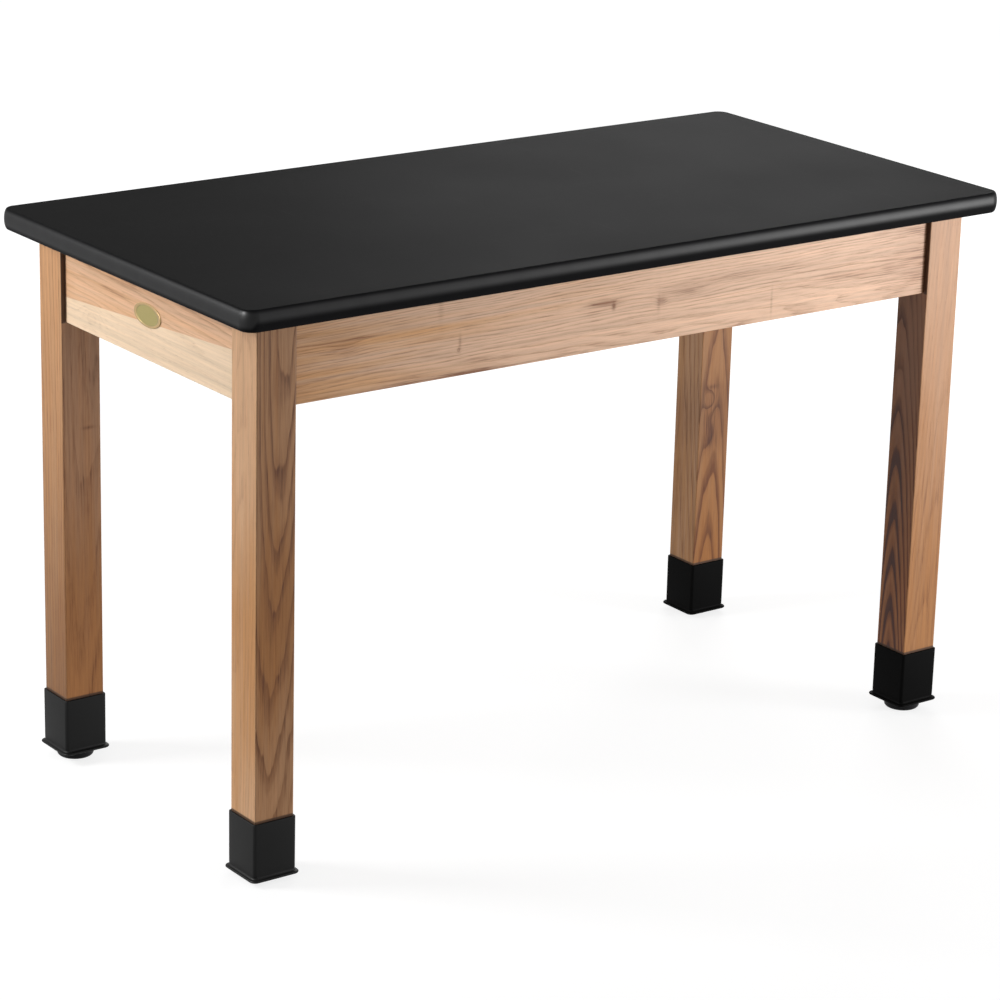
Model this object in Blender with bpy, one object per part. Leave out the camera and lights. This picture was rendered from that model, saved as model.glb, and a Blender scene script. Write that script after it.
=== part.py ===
"""Science lab table: a black laminate worktop on an ash frame, with bolted legs, boots and levelling glides.

Lengths are metres and +Z is up. The origin is on the floor under the middle of the worktop, +X runs
along the table and +Y runs to its back. Each corner of the frame hangs on an empty on its leg's axis, at
the floor, whose +X and +Y point into the table. Each side hangs on an empty on its apron's outer face,
level with the frame's top, whose +X runs along the apron and whose +Y points into the table.
"""

import math

import bmesh
import bpy

# Fit between pieces that touch, and between pieces that slide or turn
GAP = 0.0003

# Worktop
TABLE_LENGTH = 1.2192
TABLE_DEPTH = 0.6096
TABLE_HEIGHT = 0.762
LAMINATE_THICKNESS = 0.0012
CORE_THICKNESS = 0.0254
BACKER_THICKNESS = 0.0009
CORNER_RADIUS = 0.0195
BAND_LIP = 0.0012
BAND_CROWN = 0.0036
DOME_POWER = 0.8
TONGUE_THICKNESS = 0.0022
TONGUE_DEPTH = 0.0085
TONGUE_ROOT = 0.0019
BARB_HEIGHT = 0.0005
BARBS = 3

# Frame
OVERHANG = 0.0381
LEG_SIZE = 0.05715
LEG_EASE = 0.0015
APRON_THICKNESS = 0.01905
APRON_HEIGHT = 0.112
APRON_EASE = 0.0012
REVEAL = 0.00635

# Corner bracket, hanger bolt, washer and nut
STEEL = 0.002
BRACKET_HEIGHT = 0.060
BRACKET_STANDOFF = 0.006
BRACKET_FLANGE = 0.018
BRACKET_DROP = 0.026
HOOK_DEPTH = 0.008
BOLT_RADIUS = 0.004
BOLT_IN_LEG = 0.034
BOLT_TIP = 0.006
BOLT_PAST_NUT = 0.008
BOLT_END_BEVEL = 0.001
WASHER_RADIUS = 0.011
WASHER_THICKNESS = 0.0016
NUT_ACROSS_FLATS = 0.0127
NUT_THICKNESS = 0.0067
NUT_CHAMFER = 0.001

# Clips and screws that hold the worktop
CLIP_WIDTH = 0.025
CLIP_TAIL = 0.008
CLIP_FOOT = 0.024
CLIP_DROP = 0.011
CLIP_STANDOFF = 0.0025
LONG_CLIP_SPACING = 0.56
SCREW_RADIUS = 0.002
SCREW_LENGTH = 0.0165
SCREW_TIP = 0.004
SCREW_HEAD_RADIUS = 0.0042
SCREW_HEAD_HEIGHT = 0.0024
SCREW_SLOT_LENGTH = 0.0052
SCREW_SLOT_WIDTH = 0.0009
SCREW_SLOT_DEPTH = 0.0012

# Boots: how far each lower rim stands above the floor, and their common shape
BOOT_RISE = {"front_left": 0.0065, "front_right": 0.014, "rear_right": 0.0065, "rear_left": 0.014}
BOOT_HEIGHT = 0.078
BOOT_WALL = 0.0025
BOOT_CORNER = 0.0040
BOOT_RIM = 0.0006
BOOT_FLOOR = 0.003
BOOT_FLOOR_STEP = 0.0012
FLANGE_OUT = 0.0044
FLANGE_THICKNESS = 0.0034
FLANGE_CORNER = 0.0080
FLANGE_FLARE = 0.0036

# Levelling glides, the room round and over their pads, and the inserts that they screw into
PAD_HEIGHT = 0.014
PAD_CLEARANCE = 0.0026
PAD_LIFT = 0.003
PAD_ROUND = 0.005
PAD_BEVEL = 0.0012
PAD_FLOOR = 0.004
COLLAR_RADIUS = 0.0085
COLLAR_THICKNESS = 0.002
NECK_RADIUS = 0.0045
HEX_ACROSS_FLATS = 0.0127
HEX_HEIGHT = 0.005
HEX_CLEARANCE = 0.0015
STEM_RADIUS = 0.00476
STEM_BEVEL = 0.0012
GLIDE_DOWN = 0.018
GLIDE_UP = 0.009
INSERT_WALL = 0.0016
INSERT_LENGTH = 0.016
INSERT_FLANGE_RADIUS = 0.012
INSERT_FLANGE = 0.0015

# Oval plate on the left end
PLATE_WIDTH = 0.0655
PLATE_HEIGHT = 0.031
PLATE_THICKNESS = 0.0009
PLATE_BEVEL = 0.0006
PLATE_DROP = 0.053
PLATE_ALONG = 0.001

CORNERS = {"front_left": 0, "front_right": 90, "rear_right": 180, "rear_left": 270}
SIDES = {"front": 0, "right": 90, "rear": 180, "left": 270}

# How finely the round shapes are faceted
DOME_STEPS = 8
PAD_STEPS = 4
CORNER_SEGMENTS = 6
BOOT_SEGMENTS = 4
LEG_SEGMENTS = 2
PAD_SEGMENTS = 24
STEM_SEGMENTS = 18
SCREW_SEGMENTS = 12
PLATE_SEGMENTS = 32

# Sizes that follow from those above
BAND_DEPTH = BAND_LIP + BAND_CROWN
TOP_THICKNESS = LAMINATE_THICKNESS + CORE_THICKNESS + BACKER_THICKNESS + 2 * GAP
CORE_TOP = TABLE_HEIGHT - LAMINATE_THICKNESS - GAP
CORE_BOTTOM = CORE_TOP - CORE_THICKNESS
BACKER_TOP = CORE_BOTTOM - GAP
FRAME_TOP = TABLE_HEIGHT - TOP_THICKNESS - GAP
HALF_LEG = LEG_SIZE / 2
BOLT_HEIGHT = FRAME_TOP - BRACKET_DROP - BRACKET_HEIGHT / 2
BOLT_HOLE = BOLT_RADIUS + GAP
BOOT_BORE = HALF_LEG + GAP
BOOT_RECESS = PAD_HEIGHT + PAD_LIFT - min(BOOT_RISE.values())
BOOT_RECESS_HALF = BOOT_BORE - BOOT_FLOOR_STEP
BOOT_SEAT = BOOT_RECESS + BOOT_FLOOR
BOOT_HOLE = HEX_ACROSS_FLATS / math.sqrt(3) + HEX_CLEARANCE
LEG_END = max(BOOT_RISE.values()) + BOOT_SEAT + GAP
PAD_RADIUS = BOOT_RECESS_HALF - PAD_CLEARANCE
STEM_TOP = LEG_END + INSERT_LENGTH + GLIDE_DOWN

# Distances from a leg's axis towards the middle of the table: along both aprons, then on the diagonal
INNER_FACE = REVEAL + APRON_THICKNESS - HALF_LEG
LEG_CORNER = math.sqrt(2) * HALF_LEG - LEG_EASE * (math.sqrt(2) - 1)
BRACKET_FACE = math.sqrt(2) * HALF_LEG + BRACKET_STANDOFF
WASHER_FACE = BRACKET_FACE + STEEL + GAP
NUT_FACE = WASHER_FACE + WASHER_THICKNESS + GAP
BOLT_END = NUT_FACE + NUT_THICKNESS + BOLT_PAST_NUT
BRACKET_BEND = math.sqrt(2) * BRACKET_FACE - INNER_FACE
HOOK_ALONG = BRACKET_BEND + BRACKET_FLANGE

# Turns an upright piece to lie on that diagonal
DIAGONAL_TURN = (0, math.pi / 2, math.pi / 4)

# Colours as red, green, blue, then roughness and metallic
FINISHES = {
    "black_laminate": ((0.020, 0.020, 0.021), 0.45, 0.0),
    "black_edging": ((0.018, 0.018, 0.019), 0.30, 0.0),
    "particleboard": ((0.42, 0.30, 0.18), 0.85, 0.0),
    "ash": ((0.52, 0.31, 0.17), 0.45, 0.0),
    "zinc_steel": ((0.56, 0.57, 0.58), 0.35, 1.0),
    "boot_black": ((0.014, 0.014, 0.015), 0.55, 0.0),
    "glide_black": ((0.012, 0.012, 0.012), 0.40, 0.0),
    "plate_brass": ((0.50, 0.42, 0.20), 0.35, 0.8),
}


def clear_scene():
    """Remove whatever the open file holds."""
    for thing in list(bpy.data.objects):
        bpy.data.objects.remove(thing, do_unlink=True)


def finish(name):
    """The material of that name, made on its first use."""
    found = bpy.data.materials.get(name)
    if found:
        return found
    colour, roughness, metallic = FINISHES[name]
    made = bpy.data.materials.new(name)
    made.use_nodes = True
    shader = made.node_tree.nodes["Principled BSDF"]
    shader.inputs["Base Color"].default_value = (*colour, 1.0)
    shader.inputs["Roughness"].default_value = roughness
    shader.inputs["Metallic"].default_value = metallic
    return made


def solid(name, mesh_name, rings, closed=False):
    """A mesh skinned over rings of equal length, capped at both ends or closed on itself."""
    mesh = bpy.data.meshes.new(mesh_name)
    shape = bmesh.new()
    layers = [[shape.verts.new(point) for point in ring] for ring in rings]
    pairs = list(zip(layers, layers[1:] + layers[:1])) if closed else list(zip(layers, layers[1:]))
    count = len(layers[0])
    for lower, upper in pairs:
        for i in range(count):
            j = (i + 1) % count
            shape.faces.new((lower[i], lower[j], upper[j], upper[i]))
    if not closed:
        shape.faces.new(reversed(layers[0]))
        shape.faces.new(layers[-1])
    bmesh.ops.recalc_face_normals(shape, faces=shape.faces)
    shape.to_mesh(mesh)
    shape.free()
    mesh.shade_smooth()
    mesh.set_sharp_from_angle(angle=math.radians(35))
    return bpy.data.objects.new(name, mesh)


def place(piece, parent, location=(0, 0, 0), rotation=(0, 0, 0), material=None):
    """Put a piece in the scene under its parent, in the parent's own axes."""
    bpy.context.scene.collection.objects.link(piece)
    piece.parent = parent
    piece.location = location
    piece.rotation_euler = rotation
    if material and not piece.data.materials:
        piece.data.materials.append(finish(material))
    return piece


def take_away(piece, cutter):
    """Cut the cutter's shape out of the piece."""
    cutter.hide_render = True
    cutter.display_type = "WIRE"
    tool = piece.modifiers.new(cutter.name, "BOOLEAN")
    tool.operation = "DIFFERENCE"
    tool.solver = "EXACT"
    tool.object = cutter


def cut(piece, cutter, parent, location=(0, 0, 0), rotation=(0, 0, 0)):
    """Place the cutter and cut its shape out of the piece."""
    take_away(piece, place(cutter, parent, location, rotation))


def rounded_rectangle(half_x, half_y, radius, segments):
    """Points of a rectangle with an arc at each corner, anticlockwise from +X."""
    radius = min(max(radius, GAP), 0.98 * min(half_x, half_y))
    points = []
    for quarter, (sx, sy) in enumerate(((1, 1), (-1, 1), (-1, -1), (1, -1))):
        cx = sx * (half_x - radius)
        cy = sy * (half_y - radius)
        for step in range(segments + 1):
            angle = (quarter + step / segments) * math.pi / 2
            points.append((cx + radius * math.cos(angle), cy + radius * math.sin(angle)))
    return points


def level(outline, z):
    """The outline as a ring at height z."""
    return [(x, y, z) for x, y in outline]


def circle(radius, z, segments=STEM_SEGMENTS):
    """A ring of that radius at height z."""
    turns = [2 * math.pi * i / segments for i in range(segments)]
    return [(radius * math.cos(turn), radius * math.sin(turn), z) for turn in turns]


def circles(sections, segments=STEM_SEGMENTS):
    """A ring for each radius and height."""
    return [circle(radius, z, segments) for radius, z in sections]


def hexagon(across_flats, z):
    """A six-sided ring whose points lie on the rays that circle uses."""
    ring = []
    for i in range(STEM_SEGMENTS):
        turn = 2 * math.pi * i / STEM_SEGMENTS
        reach = across_flats / 2 / math.cos(turn % (math.pi / 3) - math.pi / 6)
        ring.append((reach * math.cos(turn), reach * math.sin(turn), z))
    return ring


def box_rings(low, high):
    """Two rings that make a box between its lowest and highest corners."""
    corners = ((low[0], low[1]), (high[0], low[1]), (high[0], high[1]), (low[0], high[1]))
    return [level(corners, low[2]), level(corners, high[2])]


def thicken(path, thickness):
    """The closed outline of a strip whose left edge is the path, mitred at the bends."""
    normals = []
    for (ax, ay), (bx, by) in zip(path, path[1:]):
        reach = math.hypot(bx - ax, by - ay)
        normals.append(((by - ay) / reach, (ax - bx) / reach))
    offset = []
    for i, (x, y) in enumerate(path):
        nx, ny = normals[max(i - 1, 0)]
        mx, my = normals[min(i, len(normals) - 1)]
        scale = thickness / (1 + nx * mx + ny * my)
        offset.append((x + (nx + mx) * scale, y + (ny + my) * scale))
    return list(path) + offset[::-1]


def empty(name, location, degrees):
    """An empty turned about +Z, which carries one corner or one side."""
    frame = bpy.data.objects.new(name, None)
    return place(frame, None, location, (0, 0, math.radians(degrees)))


def worktop_ring(inset, z):
    """The worktop's outline, drawn in by the inset, at height z."""
    half_x = TABLE_LENGTH / 2 - inset
    half_y = TABLE_DEPTH / 2 - inset
    return level(rounded_rectangle(half_x, half_y, CORNER_RADIUS - inset, CORNER_SEGMENTS), z)


def band_profile():
    """The edging's section: its inset from the worktop's outline, and its height above the middle."""
    half = TOP_THICKNESS / 2
    tongue = TONGUE_THICKNESS / 2
    dome = []
    for i in range(DOME_STEPS + 1):
        angle = math.pi * (i / DOME_STEPS - 0.5)
        dome.append((BAND_CROWN * (1 - math.cos(angle) ** DOME_POWER), half * math.sin(angle)))
    pitch = (TONGUE_DEPTH - TONGUE_ROOT) / BARBS
    upper = [(BAND_DEPTH, half), (BAND_DEPTH, tongue)]
    for i in range(BARBS):
        start = BAND_DEPTH + TONGUE_ROOT + i * pitch
        upper.append((start, tongue + BARB_HEIGHT))
        upper.append((start + pitch, tongue))
    lower = [(inset, -z) for inset, z in reversed(upper)]
    return dome + upper + lower


def core_profile(inset, middle):
    """The core's edge, with the groove for the edging's tongue half way up."""
    groove = TONGUE_THICKNESS / 2 + BARB_HEIGHT + GAP
    depth = inset + TONGUE_DEPTH + GAP
    return [
        (inset, CORE_BOTTOM),
        (inset, middle - groove),
        (depth, middle - groove),
        (depth, middle + groove),
        (inset, middle + groove),
        (inset, CORE_TOP),
    ]


def build_worktop():
    """Laminate, grooved core, backer and edging. Returns the two sheets that the screws go into."""
    middle = TABLE_HEIGHT - TOP_THICKNESS / 2
    inset = BAND_DEPTH + GAP
    sheets = {
        "laminate": ("black_laminate", [(inset, CORE_TOP + GAP), (inset, TABLE_HEIGHT)]),
        "core": ("particleboard", core_profile(inset, middle)),
        "backer": ("black_laminate", [(inset, BACKER_TOP - BACKER_THICKNESS), (inset, BACKER_TOP)]),
    }
    made = {}
    for name, (material, profile) in sheets.items():
        sheet = solid("worktop_" + name, name, [worktop_ring(*point) for point in profile])
        made[name] = place(sheet, None, material=material)
    band = [worktop_ring(inset, middle + z) for inset, z in band_profile()]
    place(solid("worktop_edging", "edging", band, closed=True), None, material="black_edging")
    return made["core"], made["backer"]


def leg_rings():
    """A square leg with eased corners, from above its boot's floor to the frame's top."""
    outline = rounded_rectangle(HALF_LEG, HALF_LEG, LEG_EASE, LEG_SEGMENTS)
    return [level(outline, LEG_END), level(outline, FRAME_TOP)]


def insert_seat_rings():
    """The hole in a leg's end for its insert and, above that, for the glide's stem."""
    flange = INSERT_FLANGE_RADIUS + GAP
    barrel = STEM_RADIUS + INSERT_WALL + 2 * GAP
    stem = STEM_RADIUS + GAP
    flange_top = LEG_END + INSERT_FLANGE + 2 * GAP
    barrel_top = LEG_END + INSERT_LENGTH + GAP
    sections = [(flange, LEG_END - GAP), (flange, flange_top), (barrel, flange_top), (barrel, barrel_top)]
    return circles(sections + [(stem, barrel_top), (stem, STEM_TOP + GLIDE_UP + GAP)])


def diagonal(distance, z):
    """A point at that distance from the leg's axis, towards the middle of the table."""
    return (distance / math.sqrt(2), distance / math.sqrt(2), z)


def build_leg(corner, frame):
    """One leg, with the holes for its insert and its hanger bolt."""
    leg = place(solid("leg_" + corner, "leg", leg_rings()), frame, material="ash")
    cut(leg, solid("cut_insert_" + corner, "cut_insert", insert_seat_rings()), frame)
    reach = BOLT_IN_LEG + GAP
    hole = solid("cut_bolt_" + corner, "cut_bolt", circles([(BOLT_HOLE, -reach), (BOLT_HOLE, reach)]))
    cut(leg, hole, frame, diagonal(LEG_CORNER, BOLT_HEIGHT), DIAGONAL_TURN)


def bracket_rings():
    """A strip across the corner, flat against both aprons, with an end hooked into each."""
    face = INNER_FACE + GAP
    bend = BRACKET_BEND - GAP
    depth = INNER_FACE - HOOK_DEPTH
    path = [
        (HOOK_ALONG, depth),
        (HOOK_ALONG, face),
        (bend, face),
        (face, bend),
        (face, HOOK_ALONG),
        (depth, HOOK_ALONG),
    ]
    outline = thicken(path, STEEL)
    half = BRACKET_HEIGHT / 2
    return [level(outline, BOLT_HEIGHT - half), level(outline, BOLT_HEIGHT + half)]


def bolt_rings():
    """A rod with a pointed end in the leg and a bevelled end past the nut, from its point up."""
    length = BOLT_END - LEG_CORNER + BOLT_IN_LEG
    point = BOLT_RADIUS / 4
    shank = [(BOLT_RADIUS, BOLT_TIP), (BOLT_RADIUS, length - BOLT_END_BEVEL)]
    return circles([(point, 0)] + shank + [(BOLT_RADIUS - BOLT_END_BEVEL, length)])


def washer_rings():
    """A flat ring with the bolt's hole."""
    low = [(BOLT_HOLE, 0), (WASHER_RADIUS, 0)]
    return circles(low + [(WASHER_RADIUS, WASHER_THICKNESS), (BOLT_HOLE, WASHER_THICKNESS)])


def nut_rings():
    """A hexagon nut chamfered at its free face, round the bolt's hole."""
    return [
        circle(BOLT_HOLE, 0),
        hexagon(NUT_ACROSS_FLATS, 0),
        hexagon(NUT_ACROSS_FLATS, NUT_THICKNESS - NUT_CHAMFER),
        circle(NUT_ACROSS_FLATS / 2 - NUT_CHAMFER / 2, NUT_THICKNESS),
        circle(BOLT_HOLE, NUT_THICKNESS),
    ]


def build_bracket(corner, frame):
    """One corner bracket with its bolt hole, and the bolt, washer and nut that draw the leg in."""
    bracket = place(solid("bracket_" + corner, "bracket", bracket_rings()), frame, material="zinc_steel")
    through = circles([(BOLT_HOLE, -STEEL), (BOLT_HOLE, 2 * STEEL)])
    hole = solid("cut_bracket_" + corner, "cut_bracket", through)
    cut(bracket, hole, frame, diagonal(BRACKET_FACE, BOLT_HEIGHT), DIAGONAL_TURN)
    fasteners = (
        ("hanger_bolt", bolt_rings(), False, LEG_CORNER - BOLT_IN_LEG),
        ("washer", washer_rings(), True, WASHER_FACE),
        ("nut", nut_rings(), True, NUT_FACE),
    )
    for name, rings, closed, distance in fasteners:
        fastener = solid(f"{name}_{corner}", name, rings, closed)
        place(fastener, frame, diagonal(distance, BOLT_HEIGHT), DIAGONAL_TURN, "zinc_steel")


def boot_rings():
    """A square sleeve with a flared rim below, a floor with a round hole, and a hollow for the pad."""
    sleeve = BOOT_BORE + BOOT_WALL
    rim = sleeve + FLANGE_OUT
    soft = FLANGE_THICKNESS / 3
    flare = FLANGE_THICKNESS + FLANGE_FLARE
    halfway = (BOOT_CORNER + FLANGE_CORNER) / 2
    sections = (
        (BOOT_BORE, LEG_EASE / 2, BOOT_SEAT),
        (BOOT_BORE, LEG_EASE / 2, BOOT_HEIGHT),
        (sleeve - BOOT_RIM, BOOT_CORNER, BOOT_HEIGHT),
        (sleeve, BOOT_CORNER, BOOT_HEIGHT - BOOT_RIM),
        (sleeve, BOOT_CORNER, flare),
        (sleeve + FLANGE_OUT / 4, halfway, FLANGE_THICKNESS + FLANGE_FLARE / 3),
        (rim - soft, FLANGE_CORNER, FLANGE_THICKNESS),
        (rim, FLANGE_CORNER, FLANGE_THICKNESS - soft),
        (rim, FLANGE_CORNER, soft),
        (rim - soft, FLANGE_CORNER, 0),
        (BOOT_RECESS_HALF, BOOT_CORNER, 0),
        (BOOT_RECESS_HALF, BOOT_CORNER, BOOT_RECESS),
        (BOOT_HOLE, BOOT_HOLE, BOOT_RECESS),
        (BOOT_HOLE, BOOT_HOLE, BOOT_SEAT),
    )
    return [level(rounded_rectangle(half, half, radius, BOOT_SEGMENTS), z) for half, radius, z in sections]


def insert_rings():
    """A flanged bush with a through bore, seated in the leg's end."""
    bore = STEM_RADIUS + GAP
    barrel = bore + INSERT_WALL
    start = LEG_END + GAP
    flange_top = start + INSERT_FLANGE
    top = LEG_END + INSERT_LENGTH
    low = [(bore, start), (INSERT_FLANGE_RADIUS, start), (INSERT_FLANGE_RADIUS, flange_top)]
    return circles(low + [(barrel, flange_top), (barrel, top), (bore, top)])


def pad_rings():
    """A round foot with a rounded lower edge, and a pocket that holds the stem's collar under a lip."""
    centre = PAD_RADIUS - PAD_ROUND
    edge = []
    for i in range(PAD_STEPS + 1):
        angle = math.pi / 2 * i / PAD_STEPS
        edge.append((centre + PAD_ROUND * math.sin(angle), PAD_ROUND * (1 - math.cos(angle))))
    mouth = NECK_RADIUS + GAP
    pocket = COLLAR_RADIUS + GAP
    pocket_top = PAD_FLOOR + COLLAR_THICKNESS + 2 * GAP
    upper = [(PAD_RADIUS, PAD_HEIGHT - PAD_BEVEL), (PAD_RADIUS - PAD_BEVEL, PAD_HEIGHT), (mouth, PAD_HEIGHT)]
    inside = [(mouth, pocket_top), (pocket, pocket_top), (pocket, PAD_FLOOR)]
    return circles(edge + upper + inside, PAD_SEGMENTS)


def stem_rings():
    """A collar, a neck, a hexagon for a spanner and a threaded stem."""
    collar = PAD_FLOOR + GAP
    collar_top = collar + COLLAR_THICKNESS
    hex_base = PAD_HEIGHT + GAP
    hex_top = hex_base + HEX_HEIGHT
    foot = [(COLLAR_RADIUS, collar), (COLLAR_RADIUS, collar_top)]
    neck = [(NECK_RADIUS, collar_top), (NECK_RADIUS, hex_base)]
    spanner = [hexagon(HEX_ACROSS_FLATS, hex_base), hexagon(HEX_ACROSS_FLATS, hex_top)]
    shank = [(STEM_RADIUS, hex_top), (STEM_RADIUS, STEM_TOP - STEM_BEVEL)]
    return circles(foot + neck) + spanner + circles(shank + [(STEM_RADIUS - STEM_BEVEL, STEM_TOP)])


def build_foot(corner, frame):
    """The boot on a leg's end, the insert in it, and the glide whose stem turns in the insert."""
    boot = solid("boot_" + corner, "boot", boot_rings(), closed=True)
    place(boot, frame, (0, 0, BOOT_RISE[corner]), material="boot_black")
    insert = solid("insert_" + corner, "insert", insert_rings(), closed=True)
    place(insert, frame, material="zinc_steel")
    place(solid("glide_stem_" + corner, "glide_stem", stem_rings()), frame, material="zinc_steel")
    place(solid("glide_pad_" + corner, "glide_pad", pad_rings()), frame, material="glide_black")


def build_corners():
    """Everything that is repeated at the four corners of the frame."""
    reach_x = TABLE_LENGTH / 2 - OVERHANG - HALF_LEG
    reach_y = TABLE_DEPTH / 2 - OVERHANG - HALF_LEG
    for corner, degrees in CORNERS.items():
        x = reach_x if corner.endswith("right") else -reach_x
        y = reach_y if corner.startswith("rear") else -reach_y
        frame = empty("corner_" + corner, (x, y, 0), degrees)
        build_leg(corner, frame)
        build_bracket(corner, frame)
        build_foot(corner, frame)


def side_span(side):
    """Half the distance between the axes of the two legs that an apron joins."""
    length = TABLE_LENGTH if side in ("front", "rear") else TABLE_DEPTH
    return length / 2 - OVERHANG - HALF_LEG


def clip_places(side):
    """Where along an apron its clips stand."""
    return (-LONG_CLIP_SPACING / 2, LONG_CLIP_SPACING / 2) if side in ("front", "rear") else (0.0,)


def apron_rings(side):
    """A board with eased long edges, as two rings square to its length."""
    half = side_span(side) - HALF_LEG - GAP
    outline = rounded_rectangle(APRON_THICKNESS / 2, APRON_HEIGHT / 2, APRON_EASE, LEG_SEGMENTS)
    middle = (APRON_THICKNESS / 2, -APRON_HEIGHT / 2)
    return [[(x, middle[0] + y, middle[1] + z) for y, z in outline] for x in (-half, half)]


def build_apron(side, frame):
    """One apron, with a kerf near each end for its brackets and a slot for each clip."""
    apron = place(solid("apron_" + side, "apron", apron_rings(side)), frame, material="ash")
    past = 2 * APRON_THICKNESS
    hook = side_span(side) - HOOK_ALONG
    deep = APRON_THICKNESS - HOOK_DEPTH - GAP
    low = BOLT_HEIGHT - BRACKET_HEIGHT / 2 - GAP - FRAME_TOP
    for end, sign in (("a", -1), ("b", 1)):
        near, far = sorted((sign * (hook + GAP), sign * (hook - STEEL - GAP)))
        kerf = box_rings((near, deep, low), (far, past, past))
        cut(apron, solid(f"cut_kerf_{side}_{end}", "cut_kerf", kerf), frame)
    half = CLIP_WIDTH / 2 + GAP
    back = APRON_THICKNESS - CLIP_TAIL - GAP
    for i, along in enumerate(clip_places(side)):
        lowest = (along - half, back, -CLIP_DROP - STEEL - GAP)
        slot = box_rings(lowest, (along + half, past, -CLIP_DROP + GAP))
        cut(apron, solid(f"cut_slot_{side}_{i + 1}", "cut_slot", slot), frame)


def clip_rings():
    """A strip bent twice: a tail in the apron's slot, a riser, and a foot under the worktop."""
    bend = CLIP_STANDOFF
    path = [(-CLIP_TAIL, -CLIP_DROP), (bend, -CLIP_DROP), (bend, 0), (bend + CLIP_FOOT, 0)]
    outline = thicken(path, STEEL)
    return [[(x, y, z) for y, z in outline] for x in (-CLIP_WIDTH / 2, CLIP_WIDTH / 2)]


def screw_rings():
    """A pan head and a pointed shank, upright, with the head's seat at height 0."""
    dome = ((0.45, -1.0), (0.85, -0.75), (1.0, -0.3), (1.0, 0.0))
    head = [(SCREW_HEAD_RADIUS * share, SCREW_HEAD_HEIGHT * z) for share, z in dome]
    shank = [(SCREW_RADIUS, 0.0), (SCREW_RADIUS, SCREW_LENGTH - SCREW_TIP), (SCREW_RADIUS / 8, SCREW_LENGTH)]
    return circles(head + shank, SCREW_SEGMENTS)


def build_clip(label, frame, along, sheets):
    """One clip and its screw, and the screw's hole through the clip, the backer and the core."""
    clip = solid("clip_" + label, "clip", clip_rings())
    place(clip, frame, (along, APRON_THICKNESS, 0), material="zinc_steel")
    foot = APRON_THICKNESS + CLIP_STANDOFF + (CLIP_FOOT + STEEL) / 2
    seat = (along, foot, -STEEL - GAP)
    screw = place(solid("screw_" + label, "screw", screw_rings()), frame, seat, material="zinc_steel")
    half_x = SCREW_SLOT_LENGTH / 2
    half_y = SCREW_SLOT_WIDTH / 2
    for turn, name in ((0, "a"), (math.pi / 2, "b")):
        low = (-half_x, -half_y, -2 * SCREW_HEAD_HEIGHT)
        bar = box_rings(low, (half_x, half_y, SCREW_SLOT_DEPTH - SCREW_HEAD_HEIGHT))
        cut(screw, solid(f"cut_cross_{label}_{name}", "cut_cross", bar), frame, seat, (0, 0, turn))
    hole = SCREW_RADIUS + GAP
    driven = solid("cut_screw_" + label, "cut_screw", circles([(hole, -STEEL), (hole, SCREW_LENGTH + GAP)]))
    cut(clip, driven, frame, seat)
    for sheet in sheets:
        take_away(sheet, driven)


def build_plate(frame):
    """The blank oval plate on the left end apron: a bevelled ellipse standing on its face."""
    rings = []
    for inset, out in ((0, 0), (0, PLATE_THICKNESS - PLATE_BEVEL), (PLATE_BEVEL, PLATE_THICKNESS)):
        half_x = PLATE_WIDTH / 2 - inset
        half_z = PLATE_HEIGHT / 2 - inset
        turns = [2 * math.pi * i / PLATE_SEGMENTS for i in range(PLATE_SEGMENTS)]
        rings.append([(half_x * math.cos(turn), -out, half_z * math.sin(turn)) for turn in turns])
    plate = solid("oval_plate", "oval_plate", rings)
    place(plate, frame, (PLATE_ALONG, -GAP, -PLATE_DROP), material="plate_brass")


def build_sides(sheets):
    """The four aprons, their clips and screws, and the plate."""
    reach_x = TABLE_LENGTH / 2 - OVERHANG - REVEAL
    reach_y = TABLE_DEPTH / 2 - OVERHANG - REVEAL
    places = {"front": (0, -reach_y), "right": (reach_x, 0), "rear": (0, reach_y), "left": (-reach_x, 0)}
    for side, degrees in SIDES.items():
        frame = empty("side_" + side, (*places[side], FRAME_TOP), degrees)
        build_apron(side, frame)
        for i, along in enumerate(clip_places(side)):
            build_clip(f"{side}_{i + 1}", frame, along, sheets)
        if side == "left":
            build_plate(frame)


def main():
    """Build the table."""
    clear_scene()
    sheets = build_worktop()
    build_corners()
    build_sides(sheets)


main()
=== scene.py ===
"""Looks of a science lab table: its moulded, turned and threaded pieces, its finishes and the studio.

Lengths are metres and +Z is up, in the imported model's own frame. Each new piece stands for one of the
model's nodes, and takes its place and outer size from that node's box.
"""

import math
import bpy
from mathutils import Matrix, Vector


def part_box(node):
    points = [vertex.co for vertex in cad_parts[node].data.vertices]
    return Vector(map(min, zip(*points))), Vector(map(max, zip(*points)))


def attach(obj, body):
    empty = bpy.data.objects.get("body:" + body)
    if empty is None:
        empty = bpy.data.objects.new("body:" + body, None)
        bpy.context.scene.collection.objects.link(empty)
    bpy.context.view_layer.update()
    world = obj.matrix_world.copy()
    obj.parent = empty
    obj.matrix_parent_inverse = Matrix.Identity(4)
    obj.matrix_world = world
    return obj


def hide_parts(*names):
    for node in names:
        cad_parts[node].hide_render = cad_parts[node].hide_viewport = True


bl_info = {
    "name": "Science Lab Table",
    "version": (1, 0, 0),
    "blender": (4, 5, 0),
    "location": "3D View > Sidebar > Lab Table",
    "description": "Finishes and studio of a laminate-topped ash lab table",
    "category": "Add Mesh",
}

from typing import NamedTuple

import bpy
import numpy as np

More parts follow.
